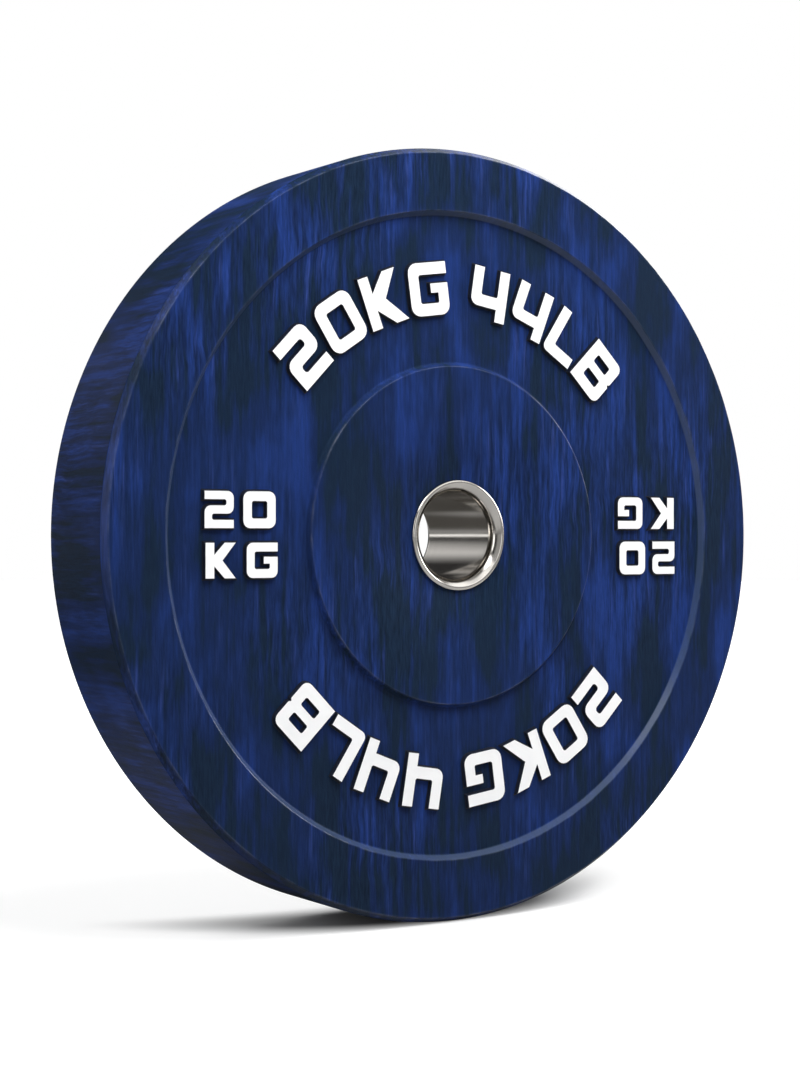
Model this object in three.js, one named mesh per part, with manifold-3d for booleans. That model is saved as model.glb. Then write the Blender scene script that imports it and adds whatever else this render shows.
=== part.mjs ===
// A 450 mm bumper plate: one block of moulded rubber round a steel hub insert, for a 50 mm bar.
// Its axis runs along Y with the front face toward -Y, +Z is up, and the origin is the middle of the bore.
// It stands on its rim. The insert is a weldment that the rubber closes in: a turned sleeve, an anchor flange
// round the sleeve's middle, and a weld bead on each side of the flange.
// The faces are facets. Every round surface is drawn round its true circle, so a width across two flats is
// the real diameter, and the plate rests on a flat facet at the lowest point of its rim.

import * as THREE from "three";
import { mergeVertices } from "three/addons/utils/BufferGeometryUtils.js";
import Module from "manifold-3d";

// Rubber body, in millimetres
const plateDiameter = 450;
const rimThickness = 73;
const rimChamferRun = 2.9; // across the face
const rimChamferRise = 4.2; // along the axis
const rimEdgeRound = 0.8;
const recessDiameter = 377.6; // at the upper edge of its wall
const recessDepth = 3.5;
const recessWallRun = 2.9; // how far the sloping wall leans in from edge to foot
const bossDiameter = 196.8; // across its flat face
const bossRise = 3.5; // above the floor of the recess
const bossWallRun = 2.3;
const mouldEdgeRound = 0.8; // on the upper edges of the recess and the boss
const mouldFootRound = 1.4; // where their walls meet the floor

// Hub sleeve
const boreDiameter = 50.8;
const sleeveWall = 7;
const lipProud = 2.1; // how far the lip stands out of the boss face
const lipRound = 1.7;
const mouthBlendRound = 8; // between the bore and the cone of its mouth
const mouthHalfAngle = THREE.MathUtils.degToRad(50);

// Anchor flange, a disc with a ring of holes that the rubber runs through
const flangeThickness = 8;
const flangeEdgeChamfer = 1;
const keyHoleDiameter = 16;
const keyHoleWall = 3; // between a key hole and the weld, and between it and the flange's rim
const keyHoleCount = 6;

// Weld beads
const weldLeg = 5;
const weldCrown = 0.6; // how far the face of the bead bulges

// Clearance between pieces that touch, and how far a cut runs past what it cuts
const fit = 0.3;
const overrun = 5;

// Facets round the axis, and steps in an arc of the outline
const rimFacets = 60;
const hubFacets = 48;
const keyHoleFacets = 20;
const roundSteps = 2;
const lipSteps = 5;

const rubber = new THREE.MeshStandardMaterial({ color: 0x26356b, roughness: 0.55, metalness: 0 });
const stainless = new THREE.MeshStandardMaterial({ color: 0xb9b4ab, roughness: 0.22, metalness: 1 });
const mildSteel = new THREE.MeshStandardMaterial({ color: 0x6c6f73, roughness: 0.5, metalness: 1 });
const weldMetal = new THREE.MeshStandardMaterial({ color: 0x86827a, roughness: 0.4, metalness: 1 });

// Levels along the axis, measured from the middle of the plate
const faceLevel = rimThickness / 2;
const bandLevel = faceLevel - rimChamferRise;
const floorLevel = faceLevel - recessDepth;
const bossLevel = floorLevel + bossRise;
const crownLevel = bossLevel + lipProud;

const rimRadius = plateDiameter / 2;
const boreRadius = boreDiameter / 2;
const sleeveRadius = boreRadius + sleeveWall;

// The insert is built up from the sleeve outwards: the flange's hole and the beads seat on the sleeve, and
// the key holes and the flange's rim lie outside the beads
const seatRadius = sleeveRadius + fit;
const weldLevel = flangeThickness / 2 + fit;
const weldToeRadius = seatRadius + weldLeg;
const keyCircleRadius = weldToeRadius + keyHoleWall + keyHoleDiameter / 2;
const flangeRadius = keyCircleRadius + keyHoleDiameter / 2 + keyHoleWall;

const wasm = await Module();
wasm.setup();

// Outline helpers: a point is (radius from the axis, place along the axis)

function point(radius, level) {
  return new THREE.Vector2(radius, level);
}

function mirrored(points) {
  return points.map((p) => point(p.x, -p.y)).reverse();
}

function arc(centre, radius, from, to, steps) {
  return Array.from({ length: steps + 1 }, (_, i) => {
    const angle = THREE.MathUtils.lerp(from, to, i / steps);
    return point(centre.x + radius * Math.cos(angle), centre.y + radius * Math.sin(angle));
  });
}

// Rounds the corner at b of the path a, b, c. The round never takes more than half of either side.
function rounded(a, b, c, radius) {
  const toA = a.clone().sub(b);
  const toC = c.clone().sub(b);
  const halfAngle = toA.angleTo(toC) / 2;
  const room = Math.min(toA.length(), toC.length()) / 2;
  const tangent = Math.min(radius / Math.tan(halfAngle), room);
  const from = b.clone().add(toA.setLength(tangent));
  const to = b.clone().add(toC.setLength(tangent));
  const centre = from.clone().add(to).sub(b).sub(b);
  centre.setLength(tangent / Math.cos(halfAngle)).add(b);
  const start = from.clone().sub(centre);
  const sweep = Math.atan2(start.cross(to.clone().sub(centre)), start.dot(to.clone().sub(centre)));
  return arc(centre, start.length(), start.angle(), start.angle() + sweep, roundSteps);
}

// An open path of corners, each with its own round. The ends stay sharp.
function roundedPath(corners) {
  return corners.flatMap(({ at, round }, i) => {
    const isEnd = i === 0 || i === corners.length - 1;
    return isEnd || !round ? [at] : rounded(corners[i - 1].at, at, corners[i + 1].at, round);
  });
}

// Solids

function solid(geometry) {
  geometry.deleteAttribute("normal");
  geometry.deleteAttribute("uv");
  const merged = mergeVertices(geometry);
  return new wasm.Manifold(
    new wasm.Mesh({
      numProp: merged.attributes.position.itemSize,
      vertProperties: merged.attributes.position.array,
      triVerts: new Uint32Array(merged.index.array),
    }),
  );
}

// Turns an outline round the Y axis, with a flat facet on each side, above and below.
function turned(outline, facets) {
  const halfFacet = Math.PI / facets;
  const corners = outline.map((p) => point(p.x / Math.cos(halfFacet), p.y));
  return solid(new THREE.LatheGeometry(corners, facets, halfFacet));
}

function ring(outline, facets) {
  return turned([...outline, outline[0]], facets);
}

// Cylinders through the flange, one at each key hole.
function keys(diameter, length) {
  const radius = diameter / 2 / Math.cos(Math.PI / keyHoleFacets);
  return Array.from({ length: keyHoleCount }, (_, i) => {
    const angle = ((i + 1 / 2) * 2 * Math.PI) / keyHoleCount;
    const key = new THREE.CylinderGeometry(radius, radius, length, keyHoleFacets);
    key.translate(keyCircleRadius * Math.sin(angle), 0, keyCircleRadius * Math.cos(angle));
    return solid(key);
  });
}

function mesh(name, shape, material) {
  const { numProp, vertProperties, triVerts } = shape.getMesh();
  const geometry = new THREE.BufferGeometry();
  geometry.setAttribute("position", new THREE.BufferAttribute(new Float32Array(vertProperties), numProp));
  geometry.setIndex(new THREE.BufferAttribute(new Uint32Array(triVerts), 1));
  geometry.computeVertexNormals();
  const result = new THREE.Mesh(geometry, material);
  result.name = name;
  return result;
}

// Hub sleeve: a thick tube. At each end a round lip runs into a cone that leads the bar in.

function sleeveEnd() {
  const coneNormal = Math.PI - mouthHalfAngle;
  const lipCentre = point(sleeveRadius - lipRound, crownLevel - lipRound);
  const lip = arc(lipCentre, lipRound, 0, coneNormal, lipSteps);
  const coneTop = lip[lipSteps];
  const coneFootRadius = boreRadius + mouthBlendRound * (1 - Math.cos(mouthHalfAngle));
  const coneFootLevel = coneTop.y - (coneTop.x - coneFootRadius) / Math.tan(mouthHalfAngle);
  const blendCentre = point(
    boreRadius + mouthBlendRound,
    coneFootLevel - mouthBlendRound * Math.sin(mouthHalfAngle),
  );
  return [...lip, ...arc(blendCentre, mouthBlendRound, coneNormal, Math.PI, lipSteps)];
}

function hubSleeve() {
  const end = sleeveEnd();
  return ring([...end, ...mirrored(end)], hubFacets);
}

// Anchor flange: a disc round the sleeve's middle, chamfered on its rim, with the key holes through it.

function anchorFlange() {
  const half = flangeThickness / 2;
  const side = [
    point(flangeRadius, half - flangeEdgeChamfer),
    point(flangeRadius - flangeEdgeChamfer, half),
    point(seatRadius, half),
  ];
  const disc = ring([...side, ...mirrored(side)], hubFacets);
  return keys(keyHoleDiameter, flangeThickness + 2 * overrun).reduce((rest, key) => rest.subtract(key), disc);
}

// Weld beads: a fillet weld in each corner of flange and sleeve, with a slightly bulging face.

function weldBead(side) {
  const bulge = weldCrown * Math.SQRT1_2;
  const section = [
    point(seatRadius, weldLevel),
    point(weldToeRadius, weldLevel),
    point(seatRadius + weldLeg / 2 + bulge, weldLevel + weldLeg / 2 + bulge),
    point(seatRadius, weldLevel + weldLeg),
  ];
  return ring(side > 0 ? section : mirrored(section), hubFacets);
}

// Rubber body: the moulded outline, less the room that the insert takes up in it.

function rubberSide() {
  const bossRadius = bossDiameter / 2;
  const recessRadius = recessDiameter / 2;
  return [
    { at: point(rimRadius, bandLevel), round: rimEdgeRound },
    { at: point(rimRadius - rimChamferRun, faceLevel), round: rimEdgeRound },
    { at: point(recessRadius, faceLevel), round: mouldEdgeRound },
    { at: point(recessRadius - recessWallRun, floorLevel), round: mouldFootRound },
    { at: point(bossRadius + bossWallRun, floorLevel), round: mouldFootRound },
    { at: point(bossRadius, bossLevel), round: mouldEdgeRound },
    { at: point(0, bossLevel), round: 0 },
  ];
}

function mirroredCorners(corners) {
  return corners.map(({ at, round }) => ({ at: point(at.x, -at.y), round })).reverse();
}

// The insert with a skin of clearance. The keys are left standing in it, and become pins of rubber that
// tie the two sides of the plate together through the flange.
function insertRoom() {
  const weldSkin = (fit + weldCrown) * Math.SQRT2;
  const sleeveSide = [
    point(weldToeRadius + weldSkin, weldLevel),
    point(seatRadius, weldLevel + weldLeg + weldSkin),
    point(seatRadius, crownLevel + overrun),
    point(0, crownLevel + overrun),
  ];
  const flangeSide = [point(flangeRadius + fit, weldLevel), point(0, weldLevel)];
  const sleeveRoom = turned([...mirrored(sleeveSide), ...sleeveSide], hubFacets);
  const flangeRoom = turned([...mirrored(flangeSide), ...flangeSide], hubFacets);
  const pins = keys(keyHoleDiameter - 2 * fit, flangeThickness + 2 * overrun);
  return pins.reduce((rest, pin) => rest.subtract(pin), flangeRoom).add(sleeveRoom);
}

function rubberBody() {
  const corners = rubberSide();
  const outline = roundedPath([...mirroredCorners(corners), ...corners]);
  return turned(outline, rimFacets).subtract(insertRoom());
}

const plate = new THREE.Group();
const insert = new THREE.Group();
insert.add(
  mesh("hub_sleeve", hubSleeve(), stainless),
  mesh("anchor_flange", anchorFlange(), mildSteel),
  mesh("weld_bead_front", weldBead(-1), weldMetal),
  mesh("weld_bead_rear", weldBead(1), weldMetal),
);
plate.add(mesh("rubber_body", rubberBody(), rubber), insert);

export default plate;
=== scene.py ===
import math

import bmesh
import bpy
from bpy.props import FloatProperty, FloatVectorProperty, IntProperty, PointerProperty
from bpy.types import Operator, Panel, PropertyGroup
from mathutils import Matrix, Vector


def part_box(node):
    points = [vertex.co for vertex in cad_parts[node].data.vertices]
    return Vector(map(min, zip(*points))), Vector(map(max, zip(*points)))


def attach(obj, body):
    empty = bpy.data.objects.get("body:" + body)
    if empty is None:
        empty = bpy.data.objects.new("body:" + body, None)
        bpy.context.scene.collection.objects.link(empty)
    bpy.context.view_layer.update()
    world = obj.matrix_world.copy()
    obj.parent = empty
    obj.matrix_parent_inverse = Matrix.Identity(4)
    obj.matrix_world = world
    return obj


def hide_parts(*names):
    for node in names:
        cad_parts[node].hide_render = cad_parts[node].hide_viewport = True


bl_info = {
    "name": "Bumper Plate",
    "version": (1, 0, 0),
    "blender": (4, 5, 0),
    "location": "View3D > Sidebar > Plate",
    "description": "Builds a 20 kg bumper plate round its packed solids, with its materials",
    "category": "Object",
}

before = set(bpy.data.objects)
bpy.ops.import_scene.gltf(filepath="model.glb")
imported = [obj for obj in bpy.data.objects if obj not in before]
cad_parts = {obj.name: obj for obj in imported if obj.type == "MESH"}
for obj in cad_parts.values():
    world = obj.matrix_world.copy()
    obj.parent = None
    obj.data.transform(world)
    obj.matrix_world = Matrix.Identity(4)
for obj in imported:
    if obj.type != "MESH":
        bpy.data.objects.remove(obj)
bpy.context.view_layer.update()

MM = 0.001
AXIS = Vector((0, 1, 0))  # the plate's axis; its front face looks toward -Y
ACROSS_AXIS = (1, 0, 1)
ON_FLOOR = (1, 1, 0)
RUBBER_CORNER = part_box("rubber_body")[1]
SLEEVE_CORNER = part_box("hub_sleeve")[1]
FLANGE_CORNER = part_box("anchor_flange")[1]
BEAD_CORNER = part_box("weld_bead_rear")[1]


# Settings


def length(name, description, default):
    return FloatProperty(
        name=name,
        description=description,
        default=default,
        min=0.0,
        subtype="DISTANCE",
        unit="LENGTH",
        precision=5,
    )


def colour(name, description, default):
    return FloatVectorProperty(
        name=name,
        description=description,
        default=default,
        size=3,
        min=0.0,
        max=1.0,
        subtype="COLOR",
    )


class RubberSettings(PropertyGroup):
    radius: length("Radius", "Outer radius of the plate", RUBBER_CORNER.x)
    half_width: length("Half width", "Half the thickness at the rim", RUBBER_CORNER.y)
    chamfer_run: length("Chamfer run", "Rim chamfer across the face", 2.9 * MM)
    chamfer_rise: length("Chamfer rise", "Rim chamfer along the axis", 4.2 * MM)
    recess_radius: length("Recess radius", "Upper edge of the recess", 188.8 * MM)
    recess_depth: length("Recess depth", "Depth of the recess", 3.5 * MM)
    recess_run: length("Recess wall", "How far its wall leans in", 2.9 * MM)
    boss_radius: length("Boss radius", "Flat top of the boss", 98.4 * MM)
    boss_run: length("Boss wall", "How far its wall leans out", 2.3 * MM)
    edge_round: length("Edge round", "Round on the outer edges", 0.8 * MM)
    foot_round: length("Foot round", "Round where a wall meets the floor", 1.4 * MM)
    steps: IntProperty(
        name="Steps", description="Facets round the axis", default=256, min=24, max=720
    )
    navy: colour("Navy", "Main colour of the dyed rubber", (0.0078, 0.0188, 0.0685))
    black: colour("Dark patches", "Darkest streaks", (0.0068, 0.0163, 0.037))
    royal: colour("Bright patches", "Brightest patches", (0.0122, 0.0328, 0.15))
    pale: colour("Wisps", "Thin pale streaks", (0.034, 0.061, 0.235))


class HubSettings(PropertyGroup):
    radius: length("Outer radius", "Outside of the sleeve", SLEEVE_CORNER.x)
    half_length: length("Half length", "Middle to the lip's crown", SLEEVE_CORNER.y)
    bore_radius: length("Bore radius", "Inside of the sleeve", 25.4 * MM)
    lip_round: length("Lip round", "Round of the lip", 1.7 * MM)
    mouth_round: length("Mouth round", "Blend from mouth to bore", 8 * MM)
    mouth_angle: FloatProperty(
        name="Mouth angle",
        description="Half angle of the mouth's cone",
        default=math.radians(50),
        subtype="ANGLE",
        unit="ROTATION",
    )
    steps: IntProperty(
        name="Steps", description="Facets round the axis", default=192, min=24, max=720
    )
    steel: colour("Steel", "Polished stainless steel", (0.6, 0.575, 0.54))


class MarkSettings(PropertyGroup):
    height: length("Height", "How far the marks stand out of the recess", 2.5 * MM)
    draft: length("Draft", "How far their sides flare out to the foot", 0.6 * MM)
    # With the marks' sides, this skirt is near black: painted shade that outlines each mark.
    skirt: length("Skirt", "Width of the low step round the foot", 0.5 * MM)
    sunk: length("Sunk", "How deep the foot sits in the rubber", 0.2 * MM)
    white: colour("White", "Printed tops", (0.93, 0.93, 0.93))


class StageSettings(PropertyGroup):
    floor_radius: length("Floor radius", "Size of the floor", 9.0)
    floor: colour("Floor", "Colour of the floor", (0.38, 0.38, 0.38))
    world_level: FloatProperty(
        name="World level", description="Soft light from all round", default=0.23, min=0.0
    )


class PlateSettings(PropertyGroup):
    rubber: PointerProperty(type=RubberSettings, name="Rubber")
    hub: PointerProperty(type=HubSettings, name="Hub")
    marks: PointerProperty(type=MarkSettings, name="Marks")
    stage: PointerProperty(type=StageSettings, name="Stage")


# Node helpers


class Nodes:
    """Adds nodes to a tree and links them. A value is a number, a colour or a socket."""

    def __init__(self, tree):
        self.tree = tree
        tree.nodes.clear()

    def add(self, kind, inputs=None, **settings):
        node = self.tree.nodes.new(kind)
        for name, value in settings.items():
            setattr(node, name, value)
        for key, value in (inputs or {}).items():
            self.set(node.inputs[key], value)
        return node

    def set(self, socket, value):
        if isinstance(value, bpy.types.NodeSocket):
            self.tree.links.new(value, socket)
        else:
            socket.default_value = value

    def math(self, operation, *values, clamp=False):
        node = self.add("ShaderNodeMath", operation=operation, use_clamp=clamp)
        for socket, value in zip(node.inputs, values):
            self.set(socket, value)
        return node.outputs[0]

    def mix(self, factor, a, b, blend="MIX"):
        node = self.add("ShaderNodeMix", data_type="RGBA", blend_type=blend)
        for index, value in ((0, factor), (6, a), (7, b)):
            self.set(node.inputs[index], value)
        return node.outputs[2]

    def blend(self, factor, a, b):
        node = self.add("ShaderNodeMix", data_type="FLOAT")
        for index, value in ((0, factor), (2, a), (3, b)):
            self.set(node.inputs[index], value)
        return node.outputs[0]

    def remap(self, value, low, high, to_low=0.0, to_high=1.0):
        """Maps low..high to to_low..to_high with soft ends."""
        node = self.add("ShaderNodeMapRange", interpolation_type="SMOOTHSTEP")
        for index, item in enumerate((value, low, high, to_low, to_high)):
            self.set(node.inputs[index], item)
        return node.outputs[0]

    def noise(self, vector, scale, detail=2.0, roughness=0.5):
        node = self.add(
            "ShaderNodeTexNoise",
            {"Vector": vector, "Scale": scale, "Detail": detail, "Roughness": roughness},
        )
        return node.outputs[0]

    def vector_math(self, operation, *values):
        """A vector operation. It gives a vector, or a number for a length or a dot product."""
        node = self.add("ShaderNodeVectorMath", operation=operation)
        for socket, value in zip(node.inputs, values):
            self.set(socket, value)
        gives_number = operation in ("LENGTH", "DOT_PRODUCT")
        return node.outputs["Value" if gives_number else "Vector"]

    def length_of(self, vector, counted):
        """The length of some parts of a vector: counted holds a 1 for each part that counts."""
        return self.vector_math("LENGTH", self.vector_math("MULTIPLY", vector, counted))

    def split(self, vector):
        return self.add("ShaderNodeSeparateXYZ", {0: vector}).outputs

    def combine(self, x, y, z):
        return self.add("ShaderNodeCombineXYZ", {0: x, 1: y, 2: z}).outputs[0]


def rgba(rgb):
    return (*rgb, 1.0)


def node_group(name, inputs, outputs):
    """An empty shader node group, its node adder, its input and its output node."""
    tree = bpy.data.node_groups.new(name, "ShaderNodeTree")
    nodes = Nodes(tree)
    for label, kind, default in inputs:
        socket = tree.interface.new_socket(label, in_out="INPUT", socket_type=kind)
        if default is not None:
            socket.default_value = default
    for label, kind in outputs:
        tree.interface.new_socket(label, in_out="OUTPUT", socket_type=kind)
    return tree, nodes, nodes.add("NodeGroupInput").outputs, nodes.add("NodeGroupOutput").inputs


def placed(nodes, group, vector, **inputs):
    """Places a node group. Its inputs are named with _ for a space."""
    values = {key.replace("_", " "): value for key, value in inputs.items()}
    return nodes.add("ShaderNodeGroup", {"Vector": vector, **values}, node_tree=group).outputs


def material(name, **constants):
    """A material with a Principled shader, and the object coordinates that its patterns read."""
    made = bpy.data.materials.new(name)
    made.use_nodes = True
    nodes = Nodes(made.node_tree)
    shader = nodes.add("ShaderNodeBsdfPrincipled")
    for key, value in constants.items():
        shader.inputs[key.replace("_", " ")].default_value = value
    output = nodes.add("ShaderNodeOutputMaterial")
    nodes.tree.links.new(shader.outputs[0], output.inputs["Surface"])
    coordinates = nodes.add("ShaderNodeTexCoord")
    return made, nodes, shader, coordinates.outputs


# Effects that several materials use

FLOAT, VECTOR = "NodeSocketFloat", "NodeSocketVector"


def streak_group():
    """Brushed dye: wide soft blotches, long strands, short fibres and a few bright wisps. They run
    up and down on the faces and along the axis on the rim. They fade in and out over a hand's
    breadth, and where they are strong, Sway makes them wander. Tone chooses the colour, and Shade
    is a factor for its brightness."""
    rim_limit = 0.35  # a surface whose normal has less than this along the axis belongs to the rim
    fading_scale, wander_scale = 9.0, 34.0
    weak, strong = 0.55, 1.5
    strand_tone, strand_shade, fibre_shade, darkest_shade = 0.5, 0.3, 1.1, 0.3
    wisp_strength = 0.5
    tree, nodes, given, out = node_group(
        "Streaked Dye",
        [
            ("Vector", VECTOR, None),
            ("Normal", VECTOR, None),
            ("Blotch Width", FLOAT, 0.026),
            ("Blotch Length", FLOAT, 0.075),
            ("Strand Width", FLOAT, 0.0036),
            ("Strand Length", FLOAT, 0.06),
            ("Fibre Width", FLOAT, 0.0011),
            ("Fibre Length", FLOAT, 0.01),
            ("Wisp Width", FLOAT, 0.0021),
            ("Wisp Length", FLOAT, 0.045),
            ("Sway", FLOAT, 0.005),
        ],
        [("Tone", FLOAT), ("Shade", FLOAT), ("Fibre", FLOAT), ("Wisp", FLOAT)],
    )
    normal = nodes.split(given["Normal"])
    on_rim = nodes.math("LESS_THAN", nodes.math("ABSOLUTE", normal["Y"]), rim_limit)
    on_face = nodes.math("SUBTRACT", 1.0, on_rim)
    fading = nodes.noise(given["Vector"], fading_scale, 1.0)
    strength = nodes.remap(fading, 0.35, 0.65, weak, strong)
    wander = nodes.math("SUBTRACT", nodes.noise(given["Vector"], wander_scale), 0.5)
    wander = nodes.math("MULTIPLY", wander, nodes.remap(strength, 1.05, 1.45, 0.12, 1.0))
    sway = nodes.math("MULTIPLY", wander, given["Sway"])
    swayed = nodes.vector_math("ADD", given["Vector"], nodes.combine(sway, 0.0, sway))
    point = nodes.split(swayed)

    def grain(size, detail, roughness):
        """Noise that is stretched along the grain."""
        width, long = given[f"{size} Width"], given[f"{size} Length"]
        cell = nodes.combine(
            nodes.math("DIVIDE", point["X"], width),
            nodes.math("DIVIDE", point["Y"], nodes.blend(on_rim, width, long)),
            nodes.math("DIVIDE", point["Z"], nodes.blend(on_face, width, long)),
        )
        return nodes.noise(cell, 1.0, detail, roughness)

    def share(value, amount):
        """A pattern's swing round nothing, times its amount and the streaks' strength."""
        centred = nodes.math("MULTIPLY", nodes.math("SUBTRACT", value, 0.5), amount)
        return nodes.math("MULTIPLY", centred, strength)

    blotches = grain("Blotch", 3.0, 0.5)
    strands = grain("Strand", 2.0, 0.6)
    fibres = grain("Fibre", 2.0, 0.6)
    tone = nodes.math("ADD", blotches, share(strands, strand_tone))
    nodes.set(out["Tone"], tone)
    shade = nodes.math("ADD", 1.0, share(strands, strand_shade))
    shade = nodes.math("ADD", shade, share(fibres, fibre_shade))
    nodes.set(out["Shade"], nodes.math("MAXIMUM", shade, darkest_shade))
    nodes.set(out["Fibre"], fibres)
    wisps = nodes.remap(grain("Wisp", 2.0, 0.6), 0.55, 0.8)
    light_side = nodes.remap(tone, 0.42, 0.56)
    wisps = nodes.math("MULTIPLY", wisps, nodes.math("MULTIPLY", strength, light_side))
    nodes.set(out["Wisp"], nodes.math("MULTIPLY", wisps, wisp_strength))
    return tree


def ring_group():
    """A soft band round the axis at one radius, for an edge, a slope or a band of wear. Broken,
    from 0 to 1, says how far noise breaks it up."""
    patch_scale = 90.0
    tree, nodes, given, out = node_group(
        "Ring Band",
        [
            ("Vector", VECTOR, None),
            ("Radius", FLOAT, 0.1),
            ("Width", FLOAT, 0.001),
            ("Broken", FLOAT, 0.5),
        ],
        [("Mask", FLOAT)],
    )
    radius = nodes.length_of(given["Vector"], ACROSS_AXIS)
    away = nodes.math("ABSOLUTE", nodes.math("SUBTRACT", radius, given["Radius"]))
    away = nodes.math("DIVIDE", away, given["Width"])
    band = nodes.math("SUBTRACT", 1.0, away, clamp=True)
    patches = nodes.remap(nodes.noise(given["Vector"], patch_scale, 4.0, 0.65), 0.4, 0.62)
    kept = nodes.blend(given["Broken"], 1.0, patches)
    nodes.set(out["Mask"], nodes.math("MULTIPLY", band, kept))
    return tree


def grain_group():
    """Fine moulding grain: a height for bump and a mask that breaks up the gloss."""
    tree, nodes, given, out = node_group(
        "Fine Grain",
        [("Vector", VECTOR, None), ("Size", FLOAT, 0.0012), ("Smudge Size", FLOAT, 0.06)],
        [("Height", FLOAT), ("Smudge", FLOAT)],
    )
    per_grain = nodes.math("DIVIDE", 1.0, given["Size"])
    per_smudge = nodes.math("DIVIDE", 1.0, given["Smudge Size"])
    nodes.set(out["Height"], nodes.noise(given["Vector"], per_grain, 3.0, 0.6))
    nodes.set(out["Smudge"], nodes.noise(given["Vector"], per_smudge, 4.0, 0.55))
    return tree


def turning_group():
    """Lines left by the lathe round the axis: a fine height, and a mask of wider ones."""
    tree, nodes, given, out = node_group(
        "Turning Lines",
        [("Vector", VECTOR, None), ("Pitch", FLOAT, 0.0003)],
        [("Height", FLOAT), ("Mask", FLOAT)],
    )
    wide_lines = 0.23  # of the fine ones' number
    radius = nodes.length_of(given["Vector"], ACROSS_AXIS)
    rings = nodes.combine(
        nodes.math("DIVIDE", radius, given["Pitch"]),
        nodes.math("DIVIDE", nodes.split(given["Vector"])["Y"], given["Pitch"]),
        0.0,
    )
    nodes.set(out["Height"], nodes.noise(rings, 1.0, 3.0, 0.7))
    nodes.set(out["Mask"], nodes.noise(rings, wide_lines, 2.0, 0.6))
    return tree


# Materials

# Colours of painted sheen and painted highlights on the rubber, painted shade on the marks' sides,
# wear on the print, and of the hidden insert
PAINTED_WALL_SHEEN = (0.036, 0.06, 0.125, 1)
PAINTED_EDGE_HIGHLIGHT = (0.1, 0.15, 0.28, 1)
MARK_SIDE_AND_SHADE_TONES = (0.002, 0.003, 0.006, 1), (0.005, 0.008, 0.02, 1)
RUBBED_WHITE = (0.8, 0.81, 0.83, 1)
MILL_SCALE_TONES = (0.22, 0.225, 0.24, 1), (0.36, 0.35, 0.34, 1)
BRIGHT_STEEL_EDGE = (0.5, 0.49, 0.47, 1)
WELD_TONES = (0.3, 0.24, 0.2, 1), (0.44, 0.42, 0.4, 1)

# Heights of the relief, in metres
RUBBER_RELIEF = 0.00006
MARK_RELIEF = 0.00004
LATHE_RELIEF = 0.000003
FLANGE_RELIEF = 0.00003
WELD_RELIEF = 0.0003


def set_relief(nodes, shader, height, distance):
    relief = nodes.add("ShaderNodeBump", {"Height": height, "Distance": distance})
    nodes.set(shader.inputs["Normal"], relief.outputs[0])


def rubber_material(settings, groups):
    """Matt moulded rubber with streaks of dye and polished slopes at the chamfer and the recess.
    The recess wall is painted paler, a painted sheen, and the glossier edges carry a painted
    highlight."""
    rim_edge_band, mould_edge_band, edge_band_broken = 0.0009, 0.0008, 0.8
    slope_polish, wall_sheen_paint, edge_highlight_paint = 0.5, 0.6, 0.12
    edge_roughness = 0.3
    made, nodes, shader, at = material(
        "streaked_rubber", Specular_IOR_Level=0.075, Coat_Roughness=0.25
    )
    streaks = placed(nodes, groups["streak"], at["Object"], Normal=at["Normal"])
    grain = placed(nodes, groups["grain"], at["Object"], Size=0.0009)
    to_navy = nodes.remap(streaks["Tone"], 0.38, 0.5)
    dyed = nodes.mix(to_navy, rgba(settings.black), rgba(settings.navy))
    to_royal = nodes.remap(streaks["Tone"], 0.49, 0.72)
    dyed = nodes.mix(to_royal, dyed, rgba(settings.royal))
    dyed = nodes.mix(streaks["Wisp"], dyed, rgba(settings.pale))
    dyed = nodes.mix(1.0, dyed, streaks["Shade"], "MULTIPLY")

    def ring(radius, width, broken):
        return placed(
            nodes, groups["ring"], at["Object"], Radius=radius, Width=width, Broken=broken
        )["Mask"]

    def slope(outer_radius, run):
        """The whole slope from its upper edge to its foot, with a sharp border."""
        band = ring(outer_radius - run / 2, run / 2, 0.0)
        return nodes.math("MULTIPLY", band, 3.0, clamp=True)

    edge = 0.0
    for radius, width in (
        (settings.radius - settings.chamfer_run, rim_edge_band),
        (settings.recess_radius, mould_edge_band),
        (settings.boss_radius, mould_edge_band),
    ):
        edge = nodes.math("ADD", edge, ring(radius, width, edge_band_broken), clamp=True)
    chamfer = slope(settings.radius, settings.chamfer_run)
    wall = slope(settings.recess_radius, settings.recess_run)
    slopes = nodes.math("MULTIPLY", nodes.math("MAXIMUM", chamfer, wall), slope_polish)
    nodes.set(shader.inputs["Coat Weight"], nodes.math("MAXIMUM", slopes, edge))
    # The recess wall is mixed toward a paler blue: painted sheen, standing in for the wall's
    # reflection.
    retinted = nodes.mix(nodes.math("MULTIPLY", wall, wall_sheen_paint), dyed, PAINTED_WALL_SHEEN)
    # The edge bands are painted paler as a painted highlight; their coat and lower roughness are
    # real gloss.
    edge_highlighted = nodes.mix(nodes.math("MULTIPLY", edge, edge_highlight_paint), retinted, PAINTED_EDGE_HIGHLIGHT)
    nodes.set(shader.inputs["Base Color"], edge_highlighted)
    roughness = nodes.blend(grain["Smudge"], 0.42, 0.54)
    roughness = nodes.math("ADD", roughness, nodes.math("MULTIPLY", streaks["Fibre"], 0.08))
    nodes.set(shader.inputs["Roughness"], nodes.blend(edge, roughness, edge_roughness))
    fibre_relief = nodes.math("MULTIPLY", streaks["Fibre"], 0.7)
    relief = nodes.math("ADD", grain["Height"], fibre_relief)
    set_relief(nodes, shader, relief, RUBBER_RELIEF)
    return made


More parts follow.
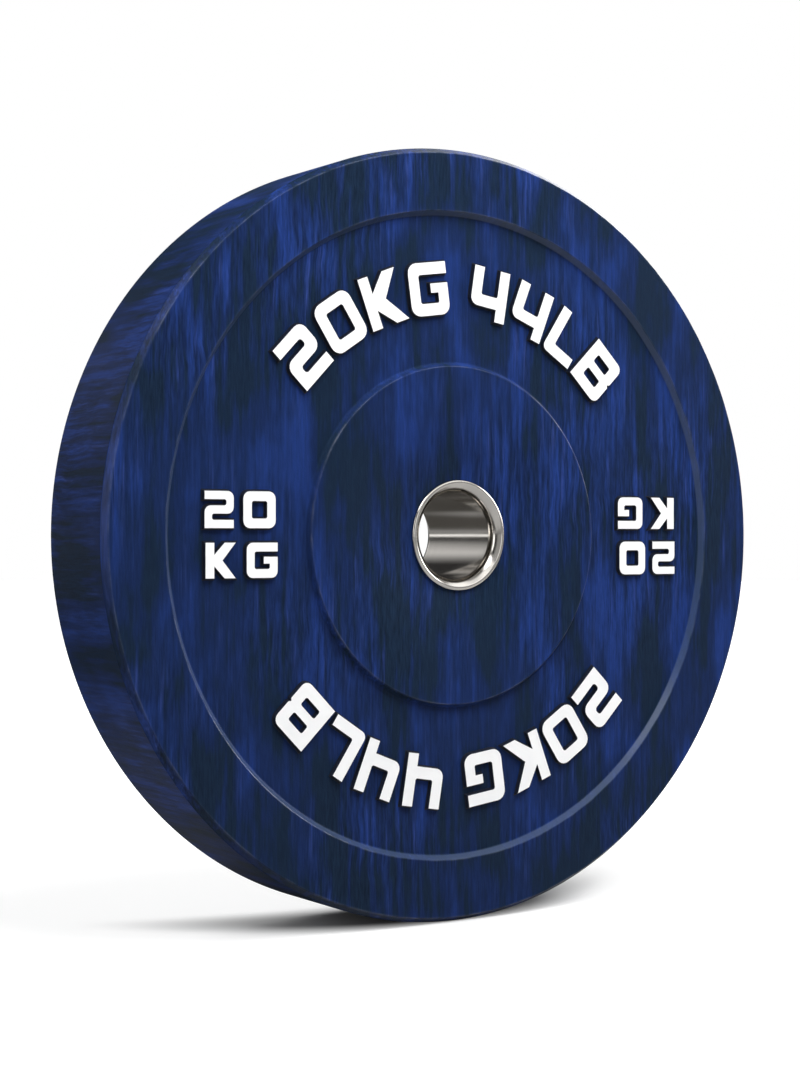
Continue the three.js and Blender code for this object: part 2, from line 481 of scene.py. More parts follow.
def mark_side_and_shade_material(groups):
    """The sides and skirt of the raised marks, in the rubber's own streaks but near black: the
    rubber's sides, darkened further as painted shade round each mark.
    """
    made, nodes, shader, at = material("mark_sides", Specular_IOR_Level=0.35)
    streaks = placed(nodes, groups["streak"], at["Object"], Normal=at["Normal"])
    grain = placed(nodes, groups["grain"], at["Object"], Size=0.0006)
    nodes.set(shader.inputs["Base Color"], nodes.mix(streaks["Tone"], *MARK_SIDE_AND_SHADE_TONES))
    nodes.set(shader.inputs["Roughness"], nodes.blend(grain["Smudge"], 0.55, 0.7))
    set_relief(nodes, shader, grain["Height"], MARK_RELIEF)
    return made


def mark_top_material(settings, groups):
    """The printed white tops of the marks, with a little rubbing."""
    made, nodes, shader, at = material("mark_tops", Specular_IOR_Level=0.4)
    grain = placed(nodes, groups["grain"], at["Object"], Size=0.0007, Smudge_Size=0.02)
    retinted = nodes.math("MULTIPLY", nodes.remap(grain["Smudge"], 0.35, 0.8), 0.35)
    printed = nodes.mix(retinted, rgba(settings.white), RUBBED_WHITE)
    nodes.set(shader.inputs["Base Color"], printed)
    nodes.set(shader.inputs["Roughness"], nodes.blend(grain["Smudge"], 0.4, 0.58))
    set_relief(nodes, shader, grain["Height"], MARK_RELIEF)
    return made


def steel_material(settings, groups):
    """Turned and polished stainless steel, with a little wear along the lip."""
    worn_band, worn_roughness, line_roughness = 0.0012, 0.06, 0.05
    made, nodes, shader, at = material("polished_stainless", Metallic=1.0)
    lines = placed(nodes, groups["turning"], at["Object"], Pitch=0.0004)
    grain = placed(nodes, groups["grain"], at["Object"], Size=0.0004, Smudge_Size=0.018)
    crown = settings.radius - settings.lip_round
    wear = placed(
        nodes, groups["ring"], at["Object"], Radius=crown, Width=worn_band, Broken=1.0
    )
    steel = Vector(settings.steel)
    tint = nodes.mix(grain["Smudge"], rgba(steel * 0.93), rgba(steel * 1.05))
    lined = nodes.mix(nodes.math("MULTIPLY", lines["Mask"], 0.25), tint, rgba(steel * 0.8))
    nodes.set(shader.inputs["Base Color"], lined)
    roughness = nodes.blend(grain["Smudge"], 0.09, 0.15)
    for mask, share in ((lines["Mask"], line_roughness), (wear["Mask"], worn_roughness)):
        roughness = nodes.math("ADD", roughness, nodes.math("MULTIPLY", mask, share))
    nodes.set(shader.inputs["Roughness"], roughness)
    set_relief(nodes, shader, lines["Height"], LATHE_RELIEF)
    return made


def flange_material(groups):
    """Cut mild steel with mill scale, and a brighter edge."""
    edge_width = 0.002
    made, nodes, shader, at = material("cut_mild_steel", Metallic=1.0)
    lines = placed(nodes, groups["turning"], at["Object"], Pitch=0.0008)
    grain = placed(nodes, groups["grain"], at["Object"], Size=0.0015, Smudge_Size=0.012)
    edge = placed(
        nodes, groups["ring"], at["Object"], Radius=FLANGE_CORNER.x, Width=edge_width, Broken=0.6
    )
    scale = nodes.mix(nodes.remap(grain["Smudge"], 0.4, 0.65), *MILL_SCALE_TONES)
    edged = nodes.mix(nodes.math("MULTIPLY", edge["Mask"], 0.6), scale, BRIGHT_STEEL_EDGE)
    nodes.set(shader.inputs["Base Color"], edged)
    nodes.set(shader.inputs["Roughness"], nodes.blend(lines["Mask"], 0.38, 0.6))
    relief = nodes.math("ADD", grain["Height"], nodes.math("MULTIPLY", lines["Height"], 0.3))
    set_relief(nodes, shader, relief, FLANGE_RELIEF)
    return made


def weld_material(groups):
    """A weld bead with the ripples of its run."""
    half_waves = 48.0  # of the ripples, in half a turn
    made, nodes, shader, at = material("weld_bead", Metallic=1.0)
    grain = placed(nodes, groups["grain"], at["Object"], Size=0.001, Smudge_Size=0.008)
    parts = nodes.split(at["Object"])
    angle = nodes.math("ARCTAN2", parts["X"], parts["Z"])
    waves = nodes.math("SINE", nodes.math("MULTIPLY", angle, half_waves))
    ripples = nodes.math("ABSOLUTE", waves)
    burnt = nodes.mix(nodes.remap(grain["Smudge"], 0.35, 0.7), *WELD_TONES)
    nodes.set(shader.inputs["Base Color"], burnt)
    nodes.set(shader.inputs["Roughness"], nodes.blend(grain["Smudge"], 0.3, 0.5))
    relief = nodes.math("ADD", ripples, nodes.math("MULTIPLY", grain["Height"], 0.3))
    set_relief(nodes, shader, relief, WELD_RELIEF)
    return made


def build_materials(context):
    """Makes every material once, and again only if a user has removed it."""
    settings = context.scene.bumper_plate
    makers = {
        "streaked_rubber": lambda g: rubber_material(settings.rubber, g),
        "mark_sides": mark_side_and_shade_material,
        "mark_tops": lambda g: mark_top_material(settings.marks, g),
        "polished_stainless": lambda g: steel_material(settings.hub, g),
        "cut_mild_steel": flange_material,
        "weld_bead": weld_material,
    }
    missing = [name for name in makers if name not in bpy.data.materials]
    if missing:
        groups = {
            "streak": streak_group(),
            "ring": ring_group(),
            "grain": grain_group(),
            "turning": turning_group(),
        }
        for name in missing:
            makers[name](groups)
    return bpy.data.materials


# Mesh helpers

SAME_POINT = 1e-7


class Outline:
    """A chain of straight runs and arcs, drawn into a bmesh. Its points are (across, along)."""

    def __init__(self, mesh, x, y):
        self.mesh = mesh
        self.first = self.last = mesh.verts.new((x, y, 0))

    def line(self, x, y):
        vert = self.mesh.verts.new((x, y, 0))
        self.mesh.edges.new((self.last, vert))
        self.last = vert

    def arc(self, centre, angle, steps):
        """Sweeps the last point round the centre."""
        swept = bmesh.ops.spin(
            self.mesh,
            geom=[self.last],
            cent=(*centre, 0),
            axis=(0, 0, 1),
            angle=angle,
            steps=steps,
        )
        self.last = next(v for v in swept["geom_last"] if isinstance(v, bmesh.types.BMVert))

    def close(self):
        self.mesh.edges.new((self.last, self.first))


def draw_path(mesh, corners, steps):
    """Draws a closed outline. Each corner is (x, y, round), and a round of 0 stays sharp."""
    count = len(corners)
    outline = None
    for i, (x, y, round_radius) in enumerate(corners):
        at = Vector((x, y))
        to_last = (Vector(corners[i - 1][:2]) - at).normalized()
        to_next = (Vector(corners[(i + 1) % count][:2]) - at).normalized()
        if round_radius:
            half = to_last.angle(to_next) / 2
            reach = round_radius / math.tan(half)
            start = at + to_last * reach
            centre = at + (to_last + to_next).normalized() * (round_radius / math.sin(half))
            turn = math.copysign(math.pi - 2 * half, -to_last.cross(to_next))
        else:
            start = at
        if outline is None:
            outline = Outline(mesh, *start)
        else:
            outline.line(*start)
        if round_radius:
            outline.arc(centre, turn, steps)
    outline.close()


def lathe(mesh, steps):
    """Spins the outline, drawn as (radius, level), round the plate's axis into a closed skin."""
    bmesh.ops.spin(
        mesh,
        geom=mesh.verts[:] + mesh.edges[:],
        cent=(0, 0, 0),
        axis=AXIS,
        angle=2 * math.pi,
        steps=steps,
        use_merge=True,
    )
    bmesh.ops.remove_doubles(mesh, verts=mesh.verts, dist=SAME_POINT)
    bmesh.ops.recalc_face_normals(mesh, faces=mesh.faces)


def add_object(name, mesh, materials, smooth=True):
    """Makes an object from the bmesh, with its materials."""
    for face in mesh.faces:
        face.smooth = smooth
    data = bpy.data.meshes.new(name)
    mesh.to_mesh(data)
    mesh.free()
    for item in materials:
        data.materials.append(item)
    piece = bpy.data.objects.new(name, data)
    bpy.context.scene.collection.objects.link(piece)
    return piece


def even_shading(piece):
    """Lets the large faces set the shading, so that only the rounds between them look round."""
    piece.modifiers.new("Even shading", "WEIGHTED_NORMAL").keep_sharp = True


def join(piece, other):
    """Joins the other solid into the piece, and removes the other."""
    union = piece.modifiers.new("Join", "BOOLEAN")
    union.operation, union.solver, union.object = "UNION", "EXACT", other
    depsgraph = bpy.context.evaluated_depsgraph_get()
    data = bpy.data.meshes.new_from_object(piece.evaluated_get(depsgraph))
    piece.modifiers.clear()
    piece.data = data
    bpy.data.objects.remove(other)


# The rubber body

FIT = 0.3 * MM  # clearance round the flange
WELD_SKIN = 1.3 * MM  # clearance and crown of a weld bead
SLEEVE_GAP = 0.02 * MM  # between the rubber's skin and the sleeve's
ROUND_STEPS = 6
KEY_COUNT = 6
KEY_CIRCLE = 48.7 * MM
PIN_RADIUS = 7.7 * MM
PIN_OVERLAP = 1 * MM
PIN_FACETS = 32


def rubber_corners(s):
    """The moulded outline of one half, from the hub out to the rim."""
    floor = s.half_width - s.recess_depth
    return [
        (s.boss_radius, s.half_width, s.edge_round),
        (s.boss_radius + s.boss_run, floor, s.foot_round),
        (s.recess_radius - s.recess_run, floor, s.foot_round),
        (s.recess_radius, s.half_width, s.edge_round),
        (s.radius - s.chamfer_run, s.half_width, s.edge_round),
        (s.radius, s.half_width - s.chamfer_rise, s.edge_round),
    ]


def insert_corners(hub_radius):
    """The room in the rubber for the welds and the flange, one half, from the hub out."""
    flange_side = FLANGE_CORNER.y + FIT
    return [
        (hub_radius, BEAD_CORNER.y + WELD_SKIN, 0),
        (BEAD_CORNER.x + WELD_SKIN, flange_side, 0),
        (FLANGE_CORNER.x + FIT, flange_side, 0),
    ]


def mirrored(corners):
    return [(x, -y, r) for x, y, r in reversed(corners)]


def rubber_body(s, hub_radius):
    mesh = bmesh.new()
    face = [(hub_radius, s.half_width, 0)] + rubber_corners(s)
    room = insert_corners(hub_radius)
    rear = [(x, -y, r) for x, y, r in room]
    draw_path(mesh, face + mirrored(face) + rear + room[::-1], ROUND_STEPS)
    lathe(mesh, s.steps)
    return mesh


def key_pins():
    """Pins of rubber through the flange's key holes, each a little longer than its hole."""
    mesh = bmesh.new()
    to_axis = Matrix.Rotation(math.pi / 2, 3, "X")
    for i in range(KEY_COUNT):
        pin = bmesh.ops.create_cone(
            mesh,
            cap_ends=True,
            segments=PIN_FACETS,
            radius1=PIN_RADIUS,
            radius2=PIN_RADIUS,
            depth=2 * (FLANGE_CORNER.y + PIN_OVERLAP),
        )["verts"]
        bmesh.ops.rotate(mesh, verts=pin, cent=(0, 0, 0), matrix=to_axis)
        angle = (i + 0.5) * 2 * math.pi / KEY_COUNT
        place = (KEY_CIRCLE * math.sin(angle), 0, KEY_CIRCLE * math.cos(angle))
        bmesh.ops.translate(mesh, verts=pin, vec=place)
    return mesh


class PLATE_OT_mould_rubber(Operator):
    """Moulds the rubber body: rim, recess and boss, closed round the steel insert"""

    bl_idname = "plate.mould_rubber"
    bl_label = "Mould Rubber Body"

    def execute(self, context):
        settings = context.scene.bumper_plate
        mesh = rubber_body(settings.rubber, settings.hub.radius + SLEEVE_GAP)
        made = build_materials(context)
        piece = add_object("moulded_rubber", mesh, [made["streaked_rubber"]])
        join(piece, add_object("key_pins", key_pins(), [made["streaked_rubber"]]))
        even_shading(piece)
        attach(piece, "root")
        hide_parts("rubber_body")
        return {"FINISHED"}


# The hub

LIP_STEPS = 20
MOUTH_STEPS = 14


class PLATE_OT_turn_hub(Operator):
    """Turns the stainless hub sleeve with its round lips and coned mouths"""

    bl_idname = "plate.turn_hub"
    bl_label = "Turn Hub Sleeve"

    def execute(self, context):
        s = context.scene.bumper_plate.hub
        mesh = bmesh.new()
        lip_x, lip_y = s.radius - s.lip_round, s.half_length - s.lip_round
        normal = math.pi - s.mouth_angle
        foot_x = s.bore_radius + s.mouth_round * (1 - math.cos(s.mouth_angle))
        cone_x = lip_x + s.lip_round * math.cos(normal)
        cone_y = lip_y + s.lip_round * math.sin(normal)
        foot_y = cone_y - (cone_x - foot_x) / math.tan(s.mouth_angle)
        blend_x = s.bore_radius + s.mouth_round
        blend_y = foot_y - s.mouth_round * math.sin(s.mouth_angle)
        outline = Outline(mesh, s.radius, lip_y)
        outline.arc((lip_x, lip_y), normal, LIP_STEPS)
        outline.line(foot_x, foot_y)
        outline.arc((blend_x, blend_y), s.mouth_angle, MOUTH_STEPS)
        outline.line(s.bore_radius, -blend_y)
        outline.arc((blend_x, -blend_y), s.mouth_angle, MOUTH_STEPS)
        outline.line(cone_x, -cone_y)
        outline.arc((lip_x, -lip_y), normal, LIP_STEPS)
        outline.close()
        lathe(mesh, s.steps)
        made = build_materials(context)
        piece = add_object("turned_hub", mesh, [made["polished_stainless"]])
        even_shading(piece)
        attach(piece, "root")
        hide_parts("hub_sleeve")
        return {"FINISHED"}


class PLATE_OT_finish_insert(Operator):
    """Gives the flange and the welds inside the rubber their steel"""

    bl_idname = "plate.finish_insert"
    bl_label = "Finish Insert"

    def execute(self, context):
        made = build_materials(context)
        for node, finish in (
            ("anchor_flange", "cut_mild_steel"),
            ("weld_bead_front", "weld_bead"),
            ("weld_bead_rear", "weld_bead"),
        ):
            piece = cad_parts[node]
            piece.data.materials.clear()
            piece.data.materials.append(made[finish])
        return {"FINISHED"}


# Raised marks: plain block figures, drawn on a foot whose sides lean in to a white top.
# A figure is a list of closed outlines, each anticlockwise: the outer one, then its holes. A corner
# is (x, y, round). w, h and s are the figure's width, its height and the thickness of its strokes,
# all at the top.

FIGURE_STEPS = 5  # in each round
SMALLEST_ROUND = 0.2 * MM


def box(x0, y0, x1, y1, r):
    return [(x0, y0, r), (x1, y0, r), (x1, y1, r), (x0, y1, r)]


def figure_0(w, h, s):
    return [box(0, 0, w, h, 0.2 * h), box(s, s, w - s, h - s, 0.05 * h)]


def figure_2(w, h, s):
    out, hole = 0.18 * h, 0.4 * (h - 3 * s) / 2
    low, high = (h - s) / 2, (h + s) / 2
    return [
        [
            (0, 0, 0),
            (w, 0, 0),
            (w, s, 0),
            (s, s, hole),
            (s, low, hole),
            (w, low, out),
            (w, h, out),
            (0, h, 0),
            (0, h - s, 0),
            (w - s, h - s, hole),
            (w - s, high, hole),
            (0, high, out),
        ]
    ]


def figure_4(w, h, s):
    bar = 0.24 * h
    return [
        [
            (w - s, 0, 0),
            (w, 0, 0),
            (w, h, 0),
            (w - s, h, 0),
            (w - s, bar + s, 0.03 * h),
            (s, bar + s, 0.03 * h),
            (s, h, 0),
            (0, h, 0),
            (0, bar, 0.16 * h),
            (w - s, bar, 0),
        ]
    ]


def figure_k(w, h, s):
    arm, leg = 1.28 * s, 0.34 * h
    return [
        [
            (0, 0, 0),
            (s, 0, 0),
            (s, leg, 0),
            (w - arm, 0, 0),
            (w, 0, 0),
            (0.56 * w, h / 2, 0),
            (w, h, 0),
            (w - arm, h, 0),
            (s, h - leg, 0),
            (s, h, 0),
            (0, h, 0),
        ]
    ]


def figure_g(w, h, s):
    out, hole = 0.19 * h, 0.05 * h
    top, bar = 0.6 * h, 0.78 * s
    return [
        [
            (0, 0, out),
            (w, 0, out),
            (w, top, 0),
            (0.55 * w, top, 0),
            (0.55 * w, top - bar, 0),
            (w - s, top - bar, 0),
            (w - s, s, 0.5 * hole),
            (s, s, hole),
            (s, h - s, hole),
            (w, h - s, 0),
            (w, h, 0),
            (0, h, out),
        ]
    ]


def figure_l(w, h, s):
    return [[(0, 0, 0.12 * h), (w, 0, 0), (w, s, 0), (s, s, 0.03 * h), (s, h, 0), (0, h, 0)]]


def figure_b(w, h, s):
    out, hole = 0.15 * h, 0.04 * h
    notch = 0.05 * w
    bar = 0.8 * s
    return [
        [
            (0, 0, 0),
            (w, 0, out),
            (w, h / 2 - notch, 0.4 * notch),
            (w - notch, h / 2, 0),
            (w, h / 2 + notch, 0.4 * notch),
            (w, h, out),
            (0, h, 0),
        ],
        box(s, s, w - s, (h - bar) / 2, hole),
        box(s, (h + bar) / 2, w - s, h - s, hole),
    ]


FIGURES = {
    "2": figure_2,
    "0": figure_0,
    "4": figure_4,
    "K": figure_k,
    "G": figure_g,
    "L": figure_l,
    "B": figure_b,
}


# On the left of the face, in mm: figure, white width, white height, stroke, and its middle
WEIGHT_MARKS = (
    ("2", 17.8, 20.2, 4.5, -156.1, 14.0),
    ("0", 20.2, 20.2, 5.3, -131.2, 14.0),
    ("K", 18.4, 19.4, 5.3, -155.2, -13.7),
    ("G", 19.3, 19.4, 4.9, -129.5, -13.7),
)
ARC_RADIUS, ARC_HEIGHT, ARC_STROKE = 143.7 * MM, 30.6 * MM, 6.9 * MM
# Figure, white width in mm, and how far its middle is clockwise from the top, in degrees
ARC_MARKS = (
    ("2", 25.0, -46.0),
    ("0", 26.5, -33.4),
    ("K", 26.0, -20.65),
    ("G", 26.5, -7.9),
    ("4", 25.5, 9.3),
    ("4", 25.5, 21.75),
    ("L", 23.0, 33.7),
    ("B", 26.0, 45.8),
)


def grown(outline, by):
    """Moves every side of a closed outline outwards, and makes its rounds fit."""
    corners = []
    for i, (x, y, round_radius) in enumerate(outline):
        before = Vector((x, y)) - Vector(outline[i - 1][:2])
        after = Vector(outline[(i + 1) % len(outline)][:2]) - Vector((x, y))
        out_before = Vector((before.y, -before.x)).normalized()
        out_after = Vector((after.y, -after.x)).normalized()
        moved = (out_before + out_after) * (by / (1 + out_before.dot(out_after)))
        if round_radius:
            bend = math.copysign(1, before.cross(after))
            round_radius = max(round_radius + bend * by, SMALLEST_ROUND)
        corners.append((x + moved.x, y + moved.y, round_radius))
    return corners


def fill_upwards(mesh, edges):
    """Fills the outlines with faces that look up, and gives the faces."""
    filled = bmesh.ops.triangle_fill(mesh, edges=edges, use_beauty=True, normal=(0, 0, 1))
    faces = [f for f in filled["geom"] if isinstance(f, bmesh.types.BMFace)]
    bmesh.ops.recalc_face_normals(mesh, faces=faces)
    for face in faces:
        face.normal_update()
    if faces[0].normal.z < 0:
        bmesh.ops.reverse_faces(mesh, faces=faces)
    return faces


def refilled(mesh, faces):
    """Fills the outline of the faces anew, because an inset can fold their old triangles."""
    inside = set(faces)
    rim = [
        edge
        for edge in {e for f in faces for e in f.edges}
        if not all(f in inside for f in edge.link_faces)
    ]
    rim.sort(key=lambda edge: edge.index)
    bmesh.ops.delete(mesh, geom=faces, context="FACES")
    return fill_upwards(mesh, rim)


def raised_figure(marks, name, w, h, s, place):
    """One figure with a white top, w wide and h high. Place takes its plane to the face."""
    spread = marks.draft + marks.skirt
    mesh = bmesh.new()
    outer, *holes = FIGURES[name](w, h, s)
    draw_path(mesh, grown(outer, spread), FIGURE_STEPS)
    for hole in holes:
        draw_path(mesh, grown(hole, -spread), FIGURE_STEPS)
    foot = fill_upwards(mesh, mesh.edges[:])
    bmesh.ops.translate(mesh, verts=mesh.verts, vec=(-w / 2, -h / 2, -marks.sunk))
    top = bmesh.ops.extrude_face_region(mesh, geom=foot, use_keep_orig=True)["geom"]
    faces = [f for f in top if isinstance(f, bmesh.types.BMFace)]
    verts = [v for v in top if isinstance(v, bmesh.types.BMVert)]
    bmesh.ops.translate(mesh, verts=verts, vec=(0, 0, 2 * marks.sunk))
    # The skirt and the leaning sides keep the near-black side material, painted shade round each
    # mark; only the top turns white.
    for inwards, up in ((marks.skirt, 0.0), (marks.draft, marks.height - marks.sunk)):
        bmesh.ops.inset_region(
            mesh,
            faces=faces,
            thickness=inwards,
            depth=up,
            use_even_offset=True,
            use_boundary=True,
        )
        mesh.edges.index_update()
        faces = refilled(mesh, faces)
    for face in faces:
        face.material_index = 1
    bmesh.ops.reverse_faces(mesh, faces=foot)
    bmesh.ops.recalc_face_normals(mesh, faces=mesh.faces)
    bmesh.ops.transform(mesh, matrix=place, verts=mesh.verts)
    return mesh


def to_face(side, level, turn):
    """Takes a plane, x right, y up and z outwards, to the front (-1) or rear (1) face at a level,
    turned round the axis."""
    if side < 0:
        stand = Matrix(((1, 0, 0, 0), (0, 0, -1, -level), (0, 1, 0, 0), (0, 0, 0, 1)))
    else:
        stand = Matrix(((-1, 0, 0, 0), (0, 0, 1, level), (0, 1, 0, 0), (0, 0, 0, 1)))
    return stand @ Matrix.Rotation(turn, 4, "Z")


def add_marks(context, name, figures):
    """Joins raised figures into one piece. Each figure is (name, width, height, stroke, place)."""
    marks = context.scene.bumper_plate.marks
    whole = bmesh.new()
    for figure in figures:
        part = raised_figure(marks, *figure)
        data = bpy.data.meshes.new("part")
        part.to_mesh(data)
        part.free()
        whole.from_mesh(data)
        bpy.data.meshes.remove(data)
    made = build_materials(context)
    piece = add_object(name, whole, [made["mark_sides"], made["mark_tops"]], smooth=False)
    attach(piece, "root")
    return piece


def marks_level(context):
    rubber = context.scene.bumper_plate.rubber
    return rubber.half_width - rubber.recess_depth


class PLATE_OT_raise_weight_marks(Operator):
    """Raises the weight, 20 over KG, left and right on both faces"""

    bl_idname = "plate.raise_weight_marks"
    bl_label = "Raise Weight Marks"

    def execute(self, context):
        level = marks_level(context)
        for label, side in (("front", -1), ("rear", 1)):
            figures = []
            for turn in (0.0, math.pi):
                for name, w, h, s, x, y in WEIGHT_MARKS:
                    place = to_face(side, level, turn) @ Matrix.Translation((x * MM, y * MM, 0))
                    figures.append((name, w * MM, h * MM, s * MM, place))
            add_marks(context, f"weight_marks_{label}", figures)
        return {"FINISHED"}


class PLATE_OT_raise_arc_marks(Operator):
    """Raises the weight in both units along an arc, above and below the boss on both faces"""

    bl_idname = "plate.raise_arc_marks"
    bl_label = "Raise Arc Marks"

    def execute(self, context):
        level = marks_level(context)
        for label, side in (("front", -1), ("rear", 1)):
            figures = []
            for base in (0.0, math.pi):
                for name, w, angle in ARC_MARKS:
                    turn = base - math.radians(angle)
                    place = to_face(side, level, turn) @ Matrix.Translation((0, ARC_RADIUS, 0))
                    figures.append((name, w * MM, ARC_HEIGHT, ARC_STROKE, place))
            add_marks(context, f"arc_marks_{label}", figures)
        return {"FINISHED"}


# The studio

# The soft lamps: name, place, what each points at, width and height, and watts
LAMPS = (
    ("key_light", (0.1, -0.6, 1.0), (0, 0, 0.05), (0.7, 0.7), 22),
    ("left_light", (-2.2, -0.5, 0.6), (0, 0, 0), (0.8, 1.4), 18),
    ("back_light", (1.0, 2.0, 1.5), (0, 0, 0), (1.6, 1.4), 48),
)


def aim(item, place, target):
    item.location = place
    item.rotation_euler = (Vector(target) - Vector(place)).to_track_quat("-Z", "Y").to_euler()


def soft_box(name, place, target, size, power):
    light = bpy.data.lights.new(name, "AREA")
    light.shape, light.size, light.size_y = "RECTANGLE", *size
    light.energy = power
    item = bpy.data.objects.new(name, light)
    bpy.context.scene.collection.objects.link(item)
    aim(item, place, target)
    item.visible_glossy = False  # the world holds what gloss mirrors


def add_camera(scene):
    """The camera as fitted to the photograph's frame of 800 by 1067 pixels."""
    frame_height, focal_pixels, centre_row = 1067, 2046.9, 535.32
    place, heading = (-0.6744, -1.0209, 0.0), -32.79
    data = bpy.data.cameras.new("camera")
    data.sensor_width = 36.0
    data.lens = focal_pixels * data.sensor_width / frame_height
    data.shift_y = (centre_row - frame_height / 2) / frame_height
    camera = bpy.data.objects.new("camera", data)
    camera.location = place
    camera.rotation_euler = (math.radians(90), 0, math.radians(heading))
    scene.collection.objects.link(camera)
    scene.camera = camera


def floor_material(s):
    """A pale floor. The camera sees it glow white, save a strip under the plate that bends back at
    both ends and keeps its shadow. Gloss sees little of the glow, and a dark floor behind the
    plate, painted shade for gloss, except close beside the plate on the left."""
    painted_shade_floor = (0.07, 0.067, 0.062, 1)
    behind_line = 0.64  # Y over X of the line that the dark floor begins at
    strip_bend, strip_squeeze = 1.9, 0.25
    glossy_glow = 0.12
    made, nodes, shader, at = material("pale_floor", Specular_IOR_Level=0.1, Roughness=0.7)
    place = nodes.split(at["Object"])
    away = nodes.length_of(at["Object"], ON_FLOOR)
    path = nodes.add("ShaderNodeLightPath").outputs

    def zone(*parts):
        """Where every part holds. A part is (value, start, full): it starts to hold at the one
        value and holds in full at the other and beyond it."""
        whole = 1.0
        for value, start, full in parts:
            ends = (0.0, 1.0) if start < full else (1.0, 0.0)
            part = nodes.remap(value, min(start, full), max(start, full), *ends)
            whole = nodes.math("MULTIPLY", whole, part)
        return whole

    line = nodes.math("MULTIPLY", place["X"], behind_line)
    beyond = nodes.math("SUBTRACT", place["Y"], line)
    behind = zone((beyond, -0.03, 0.12), (place["X"], 0.8, 0.3), (away, 2.0, 1.0))
    beside = zone((place["X"], -0.06, -0.12), (place["Y"], 0.02, 0.06), (away, 0.5, 0.35))
    behind = nodes.math("SUBTRACT", behind, beside, clamp=True)
    # Only gloss sees the dark floor behind the plate: painted shade standing in for the plate's
    # shadow there.
    dark = nodes.math("MULTIPLY", behind, path["Is Glossy Ray"])
    pale = nodes.mix(
        nodes.noise(at["Object"], 3.0, 3.0), rgba(s.floor), rgba(Vector(s.floor) * 0.98)
    )
    nodes.set(shader.inputs["Base Color"], nodes.mix(dark, pale, painted_shade_floor))

    seen = nodes.math("ADD", path["Is Camera Ray"], path["Is Transmission Ray"])
    mirrored_glow = nodes.math("MULTIPLY", path["Is Glossy Ray"], glossy_glow)
    seen = nodes.math("SUBTRACT", nodes.math("ADD", seen, mirrored_glow), dark, clamp=True)
    swept = nodes.math("MULTIPLY", place["X"], place["X"])
    swept = nodes.math("MULTIPLY", swept, strip_bend)
    strip = nodes.combine(
        nodes.math("MULTIPLY", place["X"], strip_squeeze),
        nodes.math("SUBTRACT", place["Y"], swept),
        0.0,
    )
    near = nodes.remap(nodes.vector_math("LENGTH", strip), 0.02, 0.05, 0.0, 0.7)
    glow = nodes.math("MAXIMUM", near, nodes.remap(away, 0.05, 0.4))
    nodes.set(shader.inputs["Emission Color"], (1, 1, 1, 1))
    nodes.set(shader.inputs["Emission Strength"], nodes.math("MULTIPLY", seen, glow))
    return made


# What gloss mirrors, as soft panels round the plate: the compass angle of the middle (0 is +X and
# 90 is +Y) and half the width, both in degrees; the lowest and highest Z of a unit ray; the soft
# edge of the sides, in degrees, and of the top and bottom, in Z; and the strength
PANELS = (
    (0, 32, -0.05, 0.6, 12, 0.1, 0.65),  # right
    (35, 13, -0.03, 0.56, 5, 0.1, 4.5),  # window, behind on the right
    (32, 13, 0.56, 0.86, 5, 0.06, 1.5),  # its upper part
    (-108, 12, -0.3, 0.5, 8, 0.1, 1.3),  # left, in front
    (-58, 62, 0.6, 0.93, 14, 0.08, 1.7),  # overhead, in front
    (0, 180, 0.86, 1.1, 0, 0.06, 2.6),  # straight overhead
    (-150, 24, 0.66, 0.9, 10, 0.06, 5.0),  # overhead, in front on the left
    (-8, 14, 0.12, 0.5, 8, 0.08, 11.0),  # window, in front on the right
    (-169, 5, -0.5, 0.5, 3, 0.1, 2.6),  # strip, on the left
    (119, 9, -0.03, 0.03, 5, 0.03, 2.1),  # the bright floor line, seen through the bore
    (108, 10, 0.14, 0.5, 10, 0.1, 0.9),  # wall, behind
)


def build_world(scene, level):
    """White to the camera. Gloss mirrors a studio: grey in front on the right, dark behind, and
    bright soft panels. Level is the light that matt surfaces get from all round."""
    grey_side = (0.54, -0.84, 0)
    dark_level, grey_level = 0.04, 0.48
    world = bpy.data.worlds.new("studio")
    world.use_nodes = True
    nodes = Nodes(world.node_tree)
    toward = nodes.add("ShaderNodeTexCoord").outputs["Generated"]
    height = nodes.split(toward)["Z"]
    flat = nodes.vector_math("MULTIPLY", toward, ON_FLOOR)
    compass = nodes.vector_math("NORMALIZE", flat)
    ahead = nodes.vector_math("DOT_PRODUCT", toward, grey_side)
    studio = nodes.remap(ahead, -0.05, 0.3, dark_level, grey_level)
    for angle, half, low, high, soft, soft_z, strength in PANELS:
        middle = Matrix.Rotation(math.radians(angle), 3, "Z") @ Vector((1, 0, 0))
        facing = nodes.vector_math("DOT_PRODUCT", compass, middle)
        outer, inner = math.radians(half + soft), math.radians(max(half - soft, 0))
        panel = nodes.remap(facing, math.cos(outer), math.cos(inner), 0.0, strength)
        over = nodes.remap(height, low - soft_z, low + soft_z)
        under = nodes.remap(height, high - soft_z, high + soft_z, 1.0, 0.0)
        panel = nodes.math("MULTIPLY", panel, nodes.math("MULTIPLY", over, under))
        studio = nodes.math("MAXIMUM", studio, panel)
    path = nodes.add("ShaderNodeLightPath").outputs
    clear = nodes.math("ADD", path["Is Camera Ray"], path["Is Transmission Ray"], clamp=True)
    around = nodes.blend(path["Is Glossy Ray"], level, studio)
    strength = nodes.blend(clear, around, 1.0)
    background = nodes.add("ShaderNodeBackground", {"Color": (1, 1, 1, 1), "Strength": strength})
    output = nodes.add("ShaderNodeOutputWorld")
    nodes.tree.links.new(background.outputs[0], output.inputs["Surface"])
    scene.world = world


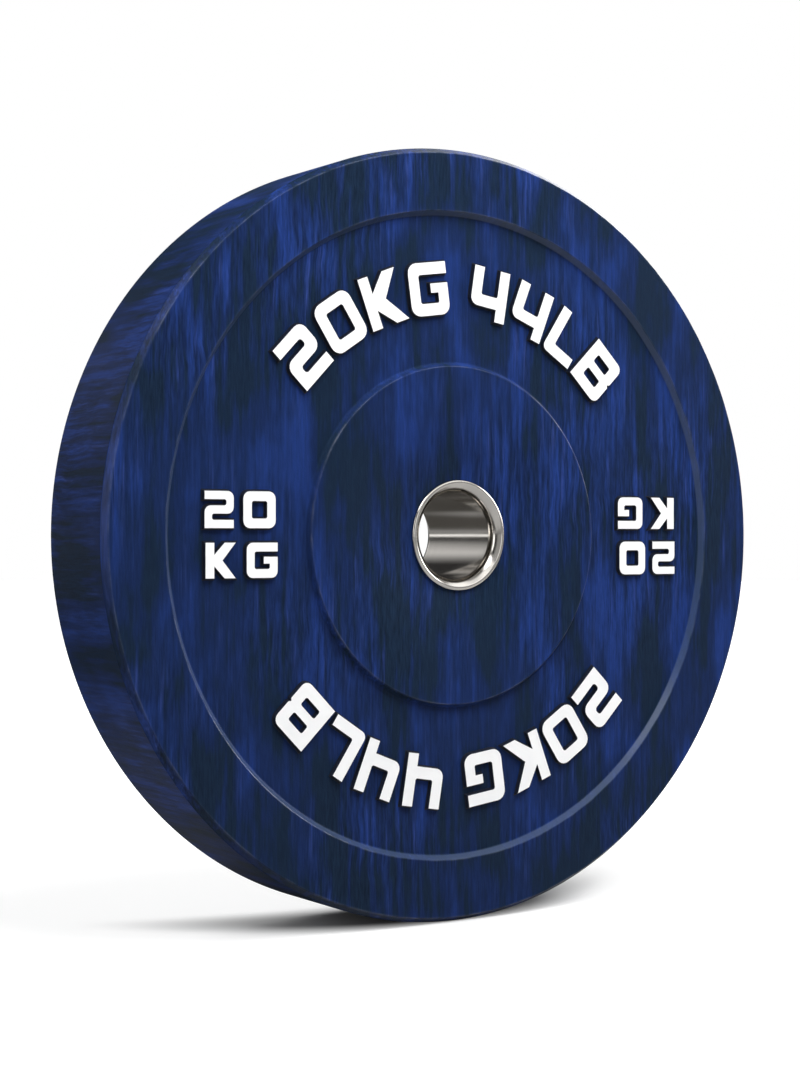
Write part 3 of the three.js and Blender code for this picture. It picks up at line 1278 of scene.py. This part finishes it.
class PLATE_OT_set_stage(Operator):
    """Sets the pale floor, the soft lights and the camera"""

    bl_idname = "plate.set_stage"
    bl_label = "Set Stage"

    def execute(self, context):
        scene = context.scene
        s = scene.bumper_plate.stage
        floor_mesh = bmesh.new()
        bmesh.ops.create_circle(floor_mesh, cap_ends=True, segments=64, radius=s.floor_radius)
        data = bpy.data.meshes.new("floor")
        floor_mesh.to_mesh(data)
        floor_mesh.free()
        data.transform(Matrix.Translation((0, 0, -scene.bumper_plate.rubber.radius)))
        data.materials.append(floor_material(s))
        floor = bpy.data.objects.new("floor", data)
        scene.collection.objects.link(floor)
        for lamp in LAMPS:
            soft_box(*lamp)
        build_world(scene, s.world_level)
        add_camera(scene)
        scene.view_settings.view_transform = "Standard"
        return {"FINISHED"}


class PLATE_PT_panel(Panel):
    """Lists the plate's build steps and settings"""

    bl_label = "Bumper Plate"
    bl_idname = "PLATE_PT_panel"
    bl_space_type = "VIEW_3D"
    bl_region_type = "UI"
    bl_category = "Plate"

    def draw(self, context):
        settings = context.scene.bumper_plate
        for step in STEPS:
            self.layout.operator(step.bl_idname)
        for label, group in (
            ("Rubber", settings.rubber),
            ("Hub", settings.hub),
            ("Marks", settings.marks),
            ("Stage", settings.stage),
        ):
            box_layout = self.layout.box()
            box_layout.label(text=label)
            for name in group.bl_rna.properties.keys():
                if name not in ("rna_type", "name"):
                    box_layout.prop(group, name)


STEPS = (
    PLATE_OT_mould_rubber,
    PLATE_OT_turn_hub,
    PLATE_OT_finish_insert,
    PLATE_OT_raise_weight_marks,
    PLATE_OT_raise_arc_marks,
    PLATE_OT_set_stage,
)
CLASSES = (
    RubberSettings,
    HubSettings,
    MarkSettings,
    StageSettings,
    PlateSettings,
    *STEPS,
    PLATE_PT_panel,
)


def register():
    for item in CLASSES:
        bpy.utils.register_class(item)
    bpy.types.Scene.bumper_plate = PointerProperty(type=PlateSettings)


def unregister():
    del bpy.types.Scene.bumper_plate
    for item in reversed(CLASSES):
        bpy.utils.unregister_class(item)


def main():
    register()
    bpy.ops.plate.mould_rubber()
    bpy.ops.plate.turn_hub()
    bpy.ops.plate.finish_insert()
    bpy.ops.plate.raise_weight_marks()
    bpy.ops.plate.raise_arc_marks()
    bpy.ops.plate.set_stage()


if __name__ == "__main__":
    main()
